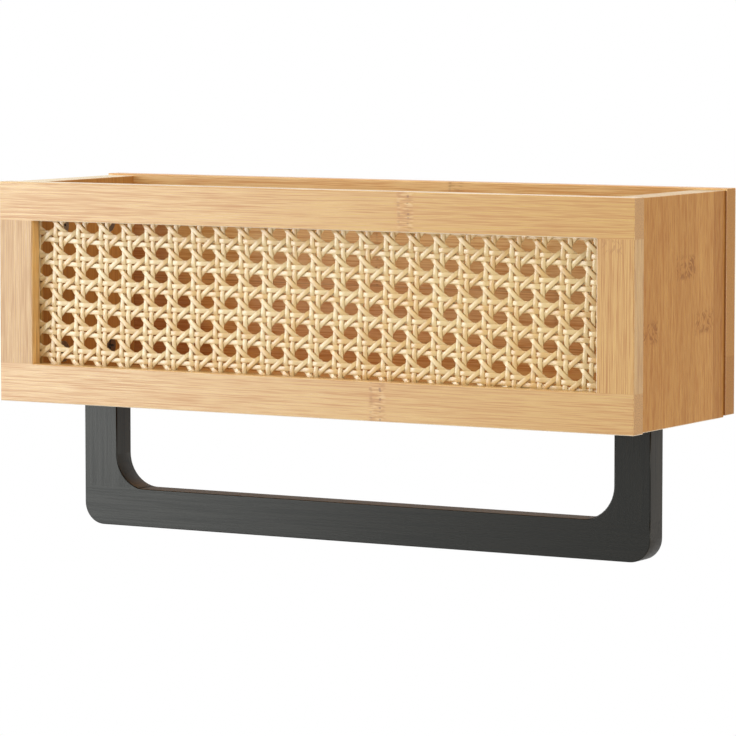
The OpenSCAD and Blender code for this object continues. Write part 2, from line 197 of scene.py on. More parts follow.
# %% Shader helpers
class Recipe:
    """A material's node tree with short calls for the nodes that the finishes need."""

    def __init__(self, name):
        self.material = bpy.data.materials.new(name)
        self.material.use_nodes = True
        self.tree = self.material.node_tree
        self.shader = self.tree.nodes["Principled BSDF"]

    def join(self, value, socket):
        """Links a node's output to a socket, or sets the socket to a plain value."""
        if isinstance(value, bpy.types.NodeSocket):
            self.tree.links.new(value, socket)
        elif value is not None:
            socket.default_value = value

    def filled(self, kind, *values):
        """A new node of the given kind with its first inputs filled."""
        node = self.tree.nodes.new(kind)
        for value, socket in zip(values, node.inputs):
            self.join(value, socket)
        return node

    def math(self, operation, a, b=None):
        node = self.filled("ShaderNodeMath", a, b)
        node.operation = operation
        return node.outputs[0]

    def plus(self, a, b):
        return self.math("ADD", a, b)

    def minus(self, a, b):
        return self.math("SUBTRACT", a, b)

    def times(self, a, b):
        return self.math("MULTIPLY", a, b)

    def larger(self, a, b):
        return self.math("MAXIMUM", a, b)

    def size(self, a):
        """The value without its sign."""
        return self.math("ABSOLUTE", a)

    def point(self, x, y, z):
        return self.filled("ShaderNodeCombineXYZ", x, y, z).outputs[0]

    def axes(self, vector):
        """A vector's parts, to be picked by the letters X, Y and Z."""
        return self.filled("ShaderNodeSeparateXYZ", vector).outputs

    def coordinates(self, kind="Object"):
        return self.tree.nodes.new("ShaderNodeTexCoord").outputs[kind]

    def noise(self, where, scale=1.0, detail=2.0, roughness=0.5):
        node = self.tree.nodes.new("ShaderNodeTexNoise")
        self.join(where, node.inputs["Vector"])
        node.inputs["Scale"].default_value = scale
        node.inputs["Detail"].default_value = detail
        node.inputs["Roughness"].default_value = roughness
        return node.outputs["Fac"]

    def random(self, number):
        node = self.tree.nodes.new("ShaderNodeTexWhiteNoise")
        node.noise_dimensions = "1D"
        self.join(number, node.inputs["W"])
        return node.outputs["Value"]

    def span(self, value, low, high, to_low=0.0, to_high=1.0):
        """value from low..high to to_low..to_high, smooth and held at both ends."""
        node = self.filled("ShaderNodeMapRange", value, low, high, to_low, to_high)
        node.interpolation_type = "SMOOTHSTEP"
        return node.outputs[0]

    def mix(self, amount, a, b, blend="MIX"):
        node = self.tree.nodes.new("ShaderNodeMix")
        node.data_type, node.blend_type = "RGBA", blend
        self.join(amount, node.inputs["Factor"])
        self.join(a, node.inputs["A"])
        self.join(b, node.inputs["B"])
        return node.outputs["Result"]

    def bump(self, height, distance, strength=1.0):
        node = self.tree.nodes.new("ShaderNodeBump")
        self.join(height, node.inputs["Height"])
        node.inputs["Distance"].default_value = distance
        node.inputs["Strength"].default_value = strength
        self.tree.links.new(node.outputs[0], self.shader.inputs["Normal"])


print("A recipe knows", sum(not word.startswith("_") for word in vars(Recipe)), "short calls")

# %% [markdown]
# ## A board knows its own directions
# Everything about wood depends on where a point lies along the grain and across it. So a board's
# recipe splits the coordinates once: u runs along the fibres, v across the strips and w through the
# thickness. It also keeps the surface's own normal, which tells ends, edges and faces apart.

# %% Board recipe
STRIP_SOFT = 0.0003


class Board(Recipe):
    """A recipe for a board, with one letter each for its directions along, across and through."""

    def __init__(self, name, directions):
        super().__init__(name)
        self.grain, self.across, depth = directions
        self.place = self.axes(self.coordinates("Object"))
        self.facing = self.axes(self.coordinates("Normal"))
        self.u, self.v, self.w = self.place[self.grain], self.place[self.across], self.place[depth]

    def turned(self, axis):
        """How squarely the surface faces along an axis, either way."""
        return self.size(self.facing[axis])

    def within(self, low, high):
        """1 on the part from low to high across the grain, with soft edges."""
        return self.times(self.span(self.v, low - STRIP_SOFT, low + STRIP_SOFT),
                          self.span(self.v, high - STRIP_SOFT, high + STRIP_SOFT, 1.0, 0.0))


print("A strip's mask fades over", round(2000 * STRIP_SOFT, 1), "mm")

# %% [markdown]
# ## The nodes of bamboo
# Bamboo boards are glued from strips about two centimetres wide. Three things give them away: very
# fine straight fibres, a slight change of tone from strip to strip, and the nodes, where the cane's
# joints were. A strip cut flat shows its node as a narrow band with a row of pits and a fainter scar.
# A strip on edge shows a hatched patch, whose short strokes lean outwards. Both have a darker halo.
# Each node is given by its place along the grain, the strip that it crosses, its strength and its
# kind. Noise lets it wander, so that no two look alike. Distances are in metres.

# %% Marks of the nodes
NODE_WANDER = 0.0018
BAND_CORE, PATCH_CORE = (0.0032, 0.0062), (0.004, 0.008)
PIT_ROW, PIT_EDGE = 0.0018, (0.0003, 0.001)
SCAR_ROW, SCAR_EDGE, SCAR_SHARE = -0.004, (0.0003, 0.0013), 0.5
STROKE_SWAY, STROKE_ASIDE, STROKE_LEAN = 0.009, 0.0045, 0.4


def band_masks(r, off, inside):
    """Masks of a node on a flat strip, where off is the distance from its middle."""
    pits = r.span(r.size(r.minus(off, PIT_ROW)), *PIT_EDGE, 1.0, 0.0)
    scar = r.span(r.size(r.minus(off, SCAR_ROW)), *SCAR_EDGE, SCAR_SHARE, 0.0)
    fading = r.times(r.span(off, -0.008, -0.003), inside)
    return {"core": r.times(r.span(r.size(off), *BAND_CORE, 1.0, 0.0), inside),
            "rims": r.times(r.larger(pits, scar), inside),
            "halo": r.times(r.span(off, -0.004, 0.014, 1.0, 0.0), fading)}


def patch_masks(r, off, inside, centre, middle):
    """Masks of a node on a strip on edge, whose middle across the grain is given."""
    sway = r.times(r.noise(r.point(r.u, r.v, centre), 170, 1), STROKE_SWAY)
    side = r.size(r.minus(r.plus(r.v, sway), middle + STROKE_ASIDE))
    leaning = r.plus(side, r.times(off, STROKE_LEAN))
    stroke = r.noise(r.point(r.times(r.u, 260), r.times(leaning, 850), r.times(r.v, 90)), 1.0, 1.5)
    patch = r.times(r.span(r.size(off), *PATCH_CORE, 1.0, 0.0), inside)
    return {"hatch": r.times(patch, r.span(stroke, 0.47, 0.62)), "halo": r.times(patch, 0.5)}


def node_masks(r, seed, nodes):
    """A board's masks by kind, each the largest of what its nodes give."""
    masks = {}
    for centre, low, high, strength, kind in nodes:
        wander = r.times(r.minus(r.noise(r.point(r.v, seed, centre), 260, 2), 0.5), NODE_WANDER)
        off = r.minus(r.minus(r.u, centre), wander)
        inside = r.times(r.within(low, high), strength)
        if kind == "band":
            own = band_masks(r, off, inside)
        else:
            own = patch_masks(r, off, inside, centre, (low + high) / 2)
        for part, mask in own.items():
            masks[part] = r.larger(masks[part], mask) if part in masks else mask
    return masks


print("A node's band is", round(2000 * BAND_CORE[0], 1), "mm wide at full strength, and its pits lie",
      round(1000 * PIT_ROW, 1), "mm off the middle")

# %% [markdown]
# ## Fibres
# Noise is made long and thin by squeezing the coordinate along the grain: a scale of 1350 across it
# means features of less than a millimetre, and 14 along it means features of several centimetres.
# Three such layers make fine fibres, hairlines and broad streaks. Before that the coordinate across
# the grain is bent, so that the fibres swirl inside a node or fan out along a board.

# %% Fibre lines
SWIRL = 0.0012
LAYER_ROUGHNESS = 0.55
# Scale along the grain, scale across it, detail and share of the whole
LAYERS = ((14.0, 1350, 1.0, 0.55), (50.0, 1900, 1.0, 0.55), (8.0, 260, 2.0, 0.1))


def fibre_paths(r, core, fan):
    """The coordinate across the grain, bent as the fibres are.

    core is the mask of the node bands. fan says where along the grain the fibres begin to spread,
    over what length, from which line, and how fast.
    """
    paths = r.v
    if core is not None:
        swirl = r.times(r.minus(r.noise(r.point(r.u, r.v, r.w), 240, 1), 0.5), SWIRL)
        paths = r.plus(paths, r.times(core, swirl))
    if fan is not None:
        begin, reach, middle, spread = fan
        rise = r.times(r.span(r.u, begin, begin + reach), r.minus(r.u, begin))
        lean = r.times(r.size(r.minus(r.v, middle)), spread)
        paths = r.minus(paths, r.times(rise, lean))
    return paths


def fibre_lines(r, paths, slip, lengths, fineness):
    """One mask of all the fibres. slip shifts them along the grain, strip by strip."""
    along = r.plus(r.u, slip)
    fibre = None
    for length, width, detail, share in LAYERS:
        where = r.point(r.times(along, length * lengths), r.times(paths, width * fineness),
                        r.times(r.w, width * fineness))
        layer = r.times(r.noise(where, 1.0, detail, LAYER_ROUGHNESS), share)
        fibre = layer if fibre is None else r.plus(fibre, layer)
    return fibre


print("The fibres' layers are about", [round(1000 / width, 2) for _, width, _, _ in LAYERS], "mm fine")

# %% [markdown]
# ## Paint on each kind of surface
# The nodes are painted over the fibres: a golden halo, brown and pale dashes in a band's core, and
# dark pits. Then the normal decides. An end shows dots instead of lines, a flank may be cut from paler
# stock, and a top gets a colour of its own, partly its stock and partly painted light from above. The
# small round edges that look down or to the left get a painted highlight, nearly white, for the light their
# lacquer catches.

# %% Paint
SQUARE_ON = (0.72, 0.9)
HALO, BROWN_DASH, PALE_DASH = "BC7F3C", "9A6428", "EBD3A0"
PIT, STROKE = "7A4A1E", "8B5522"


def paint_nodes(r, colour, masks, seed):
    """Lays the nodes' marks over a board's colour."""
    if "halo" in masks:
        colour = r.mix(r.times(masks["halo"], 0.3), colour, shade(HALO))
    if "core" in masks:
        core, rims = masks["core"], masks["rims"]
        dash = r.noise(r.point(r.times(r.u, 130), r.times(r.v, 950), r.w), 1.0, 1.0)
        pit = r.noise(r.point(r.times(r.u, 60), r.times(r.v, 620), seed), 1.0, 1.0)
        colour = r.mix(r.times(core, r.span(dash, 0.48, 0.6, 0.0, 0.5)), colour, shade(BROWN_DASH))
        colour = r.mix(r.times(core, r.span(dash, 0.36, 0.46, 0.28, 0.0)), colour, shade(PALE_DASH))
        colour = r.mix(r.times(rims, r.span(pit, 0.5, 0.62, 0.0, 0.75)), colour, shade(PIT))
    if "hatch" in masks:
        colour = r.mix(r.times(masks["hatch"], 0.8), colour, shade(STROKE))
    return colour


def paint_stock_and_top_light(r, colour, streak, flank, top):
    """Gives the flanks a paler stock between the streaks, and the top faces a colour of their own, partly
    their stock and partly painted light from above.
    """
    if flank is not None:
        sideways = r.span(r.turned(r.across), *SQUARE_ON)
        colour = r.mix(sideways, colour, r.mix(streak, shade(flank), colour))
    if top is not None:
        # Top faces: partly their own stock and partly painted light from above.
        colour = r.mix(r.span(r.facing["Z"], 0.6, 0.85), colour, r.mix(streak, shade(top), colour))
    return colour


def paint_edge_highlights(r, colour):
    """Paints a highlight, nearly white, on the round edges that look down or to the left."""
    flatness = r.larger(r.larger(r.turned("X"), r.turned("Y")), r.turned("Z"))
    away = r.larger(r.times(r.facing["X"], -1), r.times(r.facing["Z"], -1))
    # Painted highlight: where an edge turns down or to the left, its colour goes towards near-white.
    edge_highlight = r.times(r.span(flatness, 0.85, 0.99, 0.65, 0.0), r.span(away, 0.1, 0.35))
    return r.mix(edge_highlight, colour, shade("FFF2DA"))


print("An end or a flank is painted in full within", round(math.degrees(math.acos(SQUARE_ON[1]))),
      "degrees of its direction")

# %% [markdown]
# ## The bamboo recipe
# Now the parts come together. Each strip draws one random number, which sets its tone and slides its
# fibres along, so neighbouring strips don't match. A thin brown line marks the glue between strips.
# The lacquer is satin, a little rougher on the dark fibres and much rougher on the ends.

# %% Bamboo
SATIN = (0.25, 0.38)
SEAM_EDGE = (0.486, 0.499)


def bamboo(name, directions, colours, strips=0.021, shift=0.0, seed=0.0, tone=0.35, seam_dark=0.35,
           streaks=1.0, lengths=1.0, fineness=1.0, fan=None, nodes=(), bands=(), flank=None, top=None,
           shadows=None, gloss=0.7):
    """Lacquered bamboo in strips. The colours are those of pale fibres, of dark ones and of the ends."""
    r = Board(name, directions)
    pale, deep, end = (shade(code) for code in colours)
    place_in_strips = r.math("DIVIDE", r.plus(r.v, shift), strips)
    chance = r.random(r.plus(r.math("FLOOR", place_in_strips), seed))
    masks = node_masks(r, seed, nodes)
    paths = fibre_paths(r, masks.get("core"), fan)
    fibre = fibre_lines(r, paths, r.times(chance, 3.0), lengths, fineness)
    streak = r.span(fibre, 0.6 - 0.15 / streaks, 0.6 + 0.17 / streaks)

    colour = r.mix(r.times(chance, tone), r.mix(streak, pale, deep), deep)
    seam = r.size(r.minus(r.math("FRACT", place_in_strips), 0.5))
    colour = r.mix(r.span(seam, *SEAM_EDGE, 0.0, seam_dark), colour, shade("8A5A2C"))
    colour = paint_nodes(r, colour, masks, seed)

    endness = r.span(r.turned(r.grain), *SQUARE_ON)
    dots = r.noise(r.point(r.times(r.u, 0.1), r.v, r.w), 1500, 2.0, 0.65)
    colour = r.mix(endness, colour, r.mix(r.span(dots, 0.45, 0.62, 0.0, 0.45), end, shade("7A5230")))
    colour = paint_edge_highlights(r, paint_stock_and_top_light(r, colour, streak, flank, top))
    for low, high, amount in bands:
        colour = r.mix(r.times(r.within(low, high), amount), colour, shade("E3D5BC"), "MULTIPLY")
    if shadows is not None:
        colour = shadows(r, colour)
    r.join(colour, r.shader.inputs["Base Color"])

    satin = r.span(fibre, 0.4, 0.8, *SATIN)
    r.join(r.plus(satin, r.times(endness, 0.3)), r.shader.inputs["Roughness"])
    r.shader.inputs["Specular IOR Level"].default_value = gloss
    r.bump(r.plus(fibre, r.times(dots, endness)), 0.00005, 0.3)
    return r.material


print("The lacquer's roughness goes from", SATIN[0], "to", SATIN[1])

# %% [markdown]
# ## Painted shade on the back board
# The side boards stop a millimetre short of the back board's ends, and the step is too fine for soft
# lamps to darken it, so a brown line of painted shade is put there. Seen through the cane, the back
# board also gets painted shade over its lower inner face, deeper towards the left, and a painted shadow
# in its left corner, under a slanting edge. All are limited to the inner face by the normal.

# %% Back board's shadows
CRACK_FROM, CRACK_TO, CRACK_TOP = 0.198, 0.1998, 0.0602
CRACK_SOFT = 0.0002
CORNER_SLANT = -0.03


def back_shadows(r, colour):
    """Paints shade into the crack beside the side boards, over the lower inner face and into the corner
    behind the cane's left end.
    """
    x, z, outwards = r.place["X"], r.place["Z"], r.facing["Y"]
    reach = r.size(x)
    # Painted shade: a brown line in the crack beside each side board.
    crack = r.times(r.span(reach, CRACK_FROM - CRACK_SOFT, CRACK_FROM),
                    r.span(reach, CRACK_TO, CRACK_TO + CRACK_SOFT, 1.0, 0.0))
    crack = r.times(crack, r.span(outwards, -0.8, -0.5, 1.0, 0.0))
    crack = r.times(crack, r.span(z, CRACK_TOP, CRACK_TOP + 0.0003, 1.0, 0.0))
    colour = r.mix(r.times(crack, 0.85), colour, shade("7A4415"))

    # Painted shade: the inner face below the rim is darker, most towards the left, where the front and its
    # cane shade it.
    inner = r.span(outwards, -0.9, -0.7, 1.0, 0.0)
    painted_lower_shade = r.times(inner, r.span(z, -0.012, 0.046, 1.0, 0.0))
    colour = r.mix(r.times(painted_lower_shade, r.span(x, -0.05, 0.07, 1.0, 0.3)), colour, shade("F7E7DA"), "MULTIPLY")
    # Painted shadow in the left corner, under a slanting edge.
    below_rim = r.times(inner, r.span(z, 0.038, 0.046, 1.0, 0.0))
    slanting = r.plus(x, r.times(r.span(z, -0.045, 0.02, 1.0, 0.0), CORNER_SLANT))
    corner = r.times(below_rim, r.span(slanting, -0.164, -0.147, 1.0, 0.0))
    return r.mix(corner, colour, shade("DCD0D8"), "MULTIPLY")


print("The painted crack is", round(1000 * (CRACK_TO - CRACK_FROM), 1), "mm wide at each end")

# %% [markdown]
# ## Dressing the boards
# A rail's fibres run along X, a stile's and a side board's run up Z. The front is cut from paler
# stock than the sides behind it. The node places below are the shelf's own: one near the middle of
# each rail, one near the right stile's head, three on the right side and three on the back.

# %% Board materials
FRONT_END = "BE905A"
FRONT = ("CBA35E", "B17A37", FRONT_END)
BOX = ("C6924F", "AC7238", "E0C8A2")

rail_low, rail_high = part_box("front_bottom_rail")
top_low, top_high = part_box("front_top_rail")
# Each top colour below is partly the board's stock and partly painted light from above.
finishes = {
    "front_top_rail": bamboo(
        "Bamboo, top rail", "XZY", FRONT, strips=0.05, shift=0.02, seed=3.0, streaks=0.72, top="F0DDB8",
        nodes=[(0.063, top_low.z, top_high.z, 0.9, "band")]),
    "front_bottom_rail": bamboo(
        "Bamboo, bottom rail", "XZY", ("D0AB6C", "B58144", FRONT_END), strips=0.05, shift=0.08, seed=11.0,
        streaks=0.85, nodes=[(0.046, rail_low.z, rail_high.z, 0.9, "band")]),
    "front_left_stile": bamboo(
        "Bamboo, left stile", "ZXY", ("C59C5E", "A87A41", FRONT_END), strips=0.05, shift=0.21, seed=5.0,
        streaks=1.2, flank="DBAE6A", gloss=0.55),
    "front_right_stile": bamboo(
        "Bamboo, right stile", "ZXY", ("D1A765", "A9722F", FRONT_END), strips=0.05, seed=8.0,
        streaks=1.05, fineness=1.35, fan=(0.012, 0.012, 0.187, 0.9), flank="CCA262",
        nodes=[(0.0375, 0.181, 0.193, 0.45, "patch")]),
    # The left side board's top is painted near-white: a painted sheen.
    "left_side_board": bamboo(
        "Bamboo, left side", "ZYX", BOX, seed=14.0, streaks=0.9, lengths=1.5, top="F5E8CE", gloss=0.1),
    "right_side_board": bamboo(
        "Bamboo, right side", "ZYX", BOX, strips=0.0225, shift=0.0025, seed=21.0, tone=0.0,
        seam_dark=0.12, streaks=0.72, lengths=2.0, fineness=0.6, top="DFC7A9", gloss=0.1,
        bands=[(-0.111, -0.0925, 0.35), (-0.0925, -0.07, 0.25), (-0.07, -0.0475, 0.3),
               (-0.025, -0.011, 0.75)],
        nodes=[(-0.0107, -0.111, -0.0925, 0.8, "patch"), (0.0212, -0.07, -0.0475, 0.9, "patch"),
               (-0.009, -0.0475, -0.025, 0.9, "patch")]),
    "back_board": bamboo(
        "Bamboo, back", "XZY", ("EFCB8A", "CE934C", "B07B3A"), strips=0.0308, shift=0.0293, seed=30.0,
        tone=0.45, streaks=1.3, top="C08A4C", shadows=back_shadows, gloss=0.5,
        bands=[(-0.062, -0.0293, 0.5)],
        nodes=[(0.033, 0.0323, 0.0625, 0.6, "band"), (-0.02, 0.0015, 0.0323, 0.5, "band"),
               (0.10, -0.0293, 0.0015, 0.4, "band")]),
    "floor_board": bamboo("Bamboo, floor", "XYZ", BOX, seed=41.0, gloss=0.25),
}
for end, directions, seed in (("top", "XZY", 50.0), ("bottom", "XZY", 50.0),
                              ("left", "ZXY", 53.0), ("right", "ZXY", 53.0)):
    finishes["cane_bead_" + end] = bamboo("Bamboo, %s bead" % end, directions, FRONT, strips=0.05,
                                          shift=0.3, seed=seed)


def dress(names, material):
    """Gives finished solids one material."""
    for name in names:
        mesh = boards[name].data
        mesh.materials.clear()
        mesh.materials.append(material)


for name, material in finishes.items():
    dress([name], material)
print(len(finishes), "boards dressed in bamboo")

# %% [markdown]
# ## Turned pins and plain metal
# The dowels are beech. The cams and the hangers' screws are die-cast zinc, and the bolts, the legs'
# screws and the wall hangers are plated steel. None of them is large, but the cams show through the
# cane, and the hangers are all there is to see behind. Metal needs a base colour, a roughness that
# varies a little, and fine scratches.

# %% Dowels and fittings
def beech(name):
    """Plain wood with short darker flecks."""
    r = Recipe(name)
    flecks = r.noise(r.coordinates(), 900, 3.0, 0.6)
    colour = r.mix(r.span(flecks, 0.4, 0.65), shade("DDBE92"), shade("BE9060"))
    r.join(colour, r.shader.inputs["Base Color"])
    r.shader.inputs["Roughness"].default_value = 0.7
    r.bump(flecks, 0.0001, 0.3)
    return r.material


def metal(name, light, dark, roughness):
    """Plain metal, cloudy in colour and in polish."""
    r = Recipe(name)
    place = r.coordinates()
    cloud = r.noise(place, 420, 3.0, 0.6)
    r.join(r.mix(cloud, shade(light), shade(dark)), r.shader.inputs["Base Color"])
    r.join(r.span(cloud, 0.3, 0.7, roughness - 0.06, roughness + 0.08), r.shader.inputs["Roughness"])
    r.shader.inputs["Metallic"].default_value = 1.0
    r.bump(r.noise(place, 2600, 2.0), 0.00003, 0.25)
    return r.material


dress(("frame_dowels", "board_dowels", "leg_dowels"), beech("Beech"))
dress(("cam_locks", "hanger_screws"), metal("Cast zinc", "A8A59E", "75736B", 0.42))
dress(("cam_bolts", "leg_screws", "left_hanger", "right_hanger"),
      metal("Plated steel", "C9C8C4", "9E9D99", 0.3))
print("Dowels and fittings dressed in beech, zinc and steel")

# %% [markdown]
# ## How the cane is woven
# Webbing of this kind has six strands to each hole. Upright strands run in pairs and so do level
# ones, and each pair weaves plainly over and under the other. Between the holes one strand slants
# each way: the falling one passes over the uprights and under the levels, and the rising one does
# the opposite. So a strand's height above the middle of the weave repeats with every hole, and it
# is enough to say it once for each of the six.

# %% The weave's measures
PITCH_X, PITCH_Z = 0.015287, 0.013021
FIRST_HOLE = Vector((-0.17215, 0.0, 0.03607))
COLUMNS, ROWS = 24, 7
UPRIGHT_HALF, LEVEL_HALF = 0.00198, 0.00178
PLAIN_RISE, SLANT_RISE, SLANT_HASTE = 0.00042, 0.0009, 2.2

slant = math.atan2(PITCH_Z, PITCH_X)
slant_step = math.hypot(PITCH_X, PITCH_Z)


def plain_height(travel, step, half, first_over):
    """Height of an upright or level strand, which lies level at a hole's middle.

    It passes over one strand of the pair it meets and under the other, half a pair's width away.
    """
    t = travel % step
    keys = [(0.0, 0.0), (step / 2 - half, first_over), (step / 2 + half, -first_over), (step, 0.0)]
    for (t0, h0), (t1, h1) in zip(keys, keys[1:]):
        if t <= t1:
            ease = (1 - math.cos(math.pi * (t - t0) / (t1 - t0))) / 2
            return PLAIN_RISE * (h0 + (h1 - h0) * ease)
    return 0.0


def slant_height(travel, step):
    """Height of a slanting strand: over one pair, then under the other, with quick passages between."""
    swing = math.tanh(SLANT_HASTE * math.cos(2 * math.pi * travel / step))
    return SLANT_RISE * swing / math.tanh(SLANT_HASTE)


print("A hole every", round(1000 * PITCH_X, 2), "by", round(1000 * PITCH_Z, 2), "mm, slanting strands at",
      round(math.degrees(slant), 1), "degrees")

# %% [markdown]
# ## One strand at a time
# A strand is an oval loop that is extruded in short steps, and each step moves up or down by what
# the weave asks. bmesh does that with two operators: extrude the loop, then move the new copy. The
# oval comes from a circle whose points are pushed outwards by a power, which makes it flatter on top.
# Six model strands are enough, because the rest are copies.

# %% Model strands
UPRIGHT_W, LEVEL_W, SLANT_W, STRAND_T = 0.0028, 0.0028, 0.0027, 0.00075
STRAND_SIDES, STEPS_PER_METRE = 12, 700.0
OVAL_POWER = 0.47


def model_strand(length, width, height):
    """A strand along +X, its width along Z, with height(x) towards the viewer at -Y."""
    strand = bmesh.new()
    bmesh.ops.create_circle(strand, cap_ends=False, segments=STRAND_SIDES, radius=0.5)
    for vert in strand.verts:
        vert.co.x, vert.co.y = (math.copysign(abs(2 * side) ** OVAL_POWER / 2, side)
                                for side in (vert.co.x, vert.co.y))
    upright = Matrix.Rotation(math.pi / 2, 4, "Y") @ Matrix.Diagonal((width, STRAND_T, 1, 1))
    bmesh.ops.transform(strand, matrix=upright, verts=strand.verts)
    last = height(0.0)
    bmesh.ops.translate(strand, verts=strand.verts, vec=(0, -last, 0))
    loop = list(strand.edges)
    count = max(2, round(length * STEPS_PER_METRE))
    for i in range(1, count + 1):
        here = height(length * i / count)
        grown = bmesh.ops.extrude_edge_only(strand, edges=loop)["geom"]
        verts = [g for g in grown if isinstance(g, bmesh.types.BMVert)]
        fresh = set(verts)
        loop = [g for g in grown if isinstance(g, bmesh.types.BMEdge) and set(g.verts) <= fresh]
        bmesh.ops.translate(strand, verts=verts, vec=(length / count, last - here, 0))
        last = here
    mesh = bpy.data.meshes.new("Model strand")
    strand.to_mesh(mesh)
    strand.free()
    return mesh


wide, high, diagonal = PITCH_X * (COLUMNS + 2), PITCH_Z * (ROWS + 2), slant_step * (ROWS + 2)
models = {
    "upright first": model_strand(high, UPRIGHT_W, lambda t: plain_height(t, PITCH_Z, LEVEL_HALF, 1)),
    "upright second": model_strand(high, UPRIGHT_W, lambda t: plain_height(t, PITCH_Z, LEVEL_HALF, -1)),
    "level first": model_strand(wide, LEVEL_W, lambda t: plain_height(t, PITCH_X, UPRIGHT_HALF, -1)),
    "level second": model_strand(wide, LEVEL_W, lambda t: plain_height(t, PITCH_X, UPRIGHT_HALF, 1)),
    "falling": model_strand(diagonal, SLANT_W, lambda t: slant_height(t, slant_step)),
    "rising": model_strand(diagonal, SLANT_W, lambda t: -slant_height(t, slant_step)),
}
print("Model strands with", [len(m.polygons) for m in models.values()], "faces")

# %% [markdown]
# ## Laying the strands
# Each copy of a model strand is turned to its direction and moved to its place in the net. Real
# strands differ, so each one gets a number of its own for its tone, which the material reads later,
# and wanders a little to either side.

# %% Lay a strand
STRAND_WANDER, WANDER_SCALE = 0.00012, 60


def lay(net, tone_layer, mesh, start, turn, number):
    """Adds a copy of a model strand from start, at the angle turn in the net's plane."""
    first = len(net.verts)
    net.from_mesh(mesh)
    net.verts.ensure_lookup_table()
    fresh = net.verts[first:]
    tone = noise.cell(Vector((number * 3.7, turn * 11.0, 0.5)))
    for vert in fresh:
        vert[tone_layer] = tone
        vert.co.z += STRAND_WANDER * noise.noise(Vector((vert.co.x * WANDER_SCALE, number * 7.3, 0)))
    placed = Matrix.Translation(start) @ Matrix.Rotation(turn, 4, "Y")
    bmesh.ops.transform(net, matrix=placed, verts=fresh)


print("A strand wanders up to", round(1000 * STRAND_WANDER, 2), "mm to either side")

# %% [markdown]
# ## Pulling the net over its frame
# Webbing is never quite square once it is stretched. The columns lean, and the rows sink towards
# both ends, but rise again at the far left. The top row is pulled to the left, and the columns at
# the right are spread up and down. All of that is written by column and row, counted from the first
# hole. Where the rebate and its beads hold the net, it is pressed a little flatter.

# %% Stretch the net
WEAVE_Y = -0.11405
NET_SHIFT = (0.00019, 0.00072)
COLUMN_LEAN, ROW_LEAN = 0.00047, 0.000102
COLUMN_BOW, ROW_BOW = 0.00058, 0.00167
TOP_PULL, TOP_MIDDLE = 0.0011, 9
LEFT_LIFT, LEFT_REACH = 0.002, 4.5
RIGHT_SPREAD, RIGHT_FROM, RIGHT_REACH, SPREAD_ROW = 0.0004, 18, 4, 2.5
REBATE, PRESS_REACH, PRESSED = 0.0056, 0.003, 0.8

cane_low, cane_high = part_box("cane_panel")


def stretch(net):
    """Leans and bows the net, and presses it flat where the rebate holds it."""
    half_w, half_h = (cane_high.x - cane_low.x) / 2, (cane_high.z - cane_low.z) / 2
    middle = (cane_low + cane_high) / 2
    for vert in net.verts:
        column = (vert.co.x - FIRST_HOLE.x) / PITCH_X
        row = (FIRST_HOLE.z - vert.co.z) / PITCH_Z
        side = (column - (COLUMNS - 1) / 2) / ((COLUMNS - 1) / 2)
        vert.co.x += NET_SHIFT[0] - COLUMN_LEAN * row - COLUMN_BOW * side * side
        near_middle = max(0.0, 1 - ((column - TOP_MIDDLE) / TOP_MIDDLE) ** 2)
        vert.co.x -= TOP_PULL * min(1.0, max(0.0, 1 - row)) * near_middle
        vert.co.z += NET_SHIFT[1] - ROW_LEAN * column - ROW_BOW * side * side
        vert.co.z += LEFT_LIFT * max(0.0, 1 - column / LEFT_REACH) ** 2
        vert.co.z += RIGHT_SPREAD * (SPREAD_ROW - row) * max(0.0, (column - RIGHT_FROM) / RIGHT_REACH) ** 2
        inward = min(half_w - abs(vert.co.x - middle.x), half_h - abs(vert.co.z - middle.z)) - REBATE
        vert.co.y *= PRESSED + (1 - PRESSED) * min(1.0, max(0.0, inward / PRESS_REACH))
        vert.co.y += WEAVE_Y


print("The panel is", round(1000 * (cane_high.x - cane_low.x), 1), "by",
      round(1000 * (cane_high.z - cane_low.z), 1), "mm")

# %% [markdown]
# ## From strands to a piece
# The net is laid larger than the panel and cut off at its four edges. A cut strand would be an open
# tube, so every cut is closed with a face. Each piece then hides the solid it stands for, takes its
# material and moves with the root body.

# %% Trim the net
def everything(shape):
    """All of a bmesh's parts, as a cut asks for them."""
    return list(shape.verts) + list(shape.edges) + list(shape.faces)


def trim(net):
    """Cuts the net at the panel's four edges and closes the cut strands."""
    for corner, outwards in ((cane_low, (-1, 0, 0)), (cane_low, (0, 0, -1)),
                             (cane_high, (1, 0, 0)), (cane_high, (0, 0, 1))):
        cut = bmesh.ops.bisect_plane(net, geom=everything(net), plane_co=corner, plane_no=outwards,
                                     clear_outer=True)["geom_cut"]
        rim = [g for g in cut if isinstance(g, bmesh.types.BMEdge) and g.is_boundary]
        bmesh.ops.holes_fill(net, edges=rim, sides=0)


def cane_piece(name, strands, material):
    """One mesh of strands that run the same way."""
    net = bmesh.new()
    tone_layer = net.verts.layers.float.new("tone")
    for number, (mesh, start, turn) in enumerate(strands):
        lay(net, tone_layer, mesh, start, turn, number)
    stretch(net)
    trim(net)
    bmesh.ops.recalc_face_normals(net, faces=net.faces)
    for face in net.faces:
        face.smooth = True
    mesh = bpy.data.meshes.new(name)
    net.to_mesh(mesh)
    net.free()
    mesh.materials.append(material)
    piece = bpy.data.objects.new(name, mesh)
    bpy.context.scene.collection.objects.link(piece)
    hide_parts("cane_panel")
    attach(piece, "root")
    print(name, "has", len(mesh.polygons), "faces")


print("The net is cut at X", round(1000 * cane_low.x, 1), "and", round(1000 * cane_high.x, 1), "mm, and at Z",
      round(1000 * cane_low.z, 1), "and", round(1000 * cane_high.z, 1), "mm")

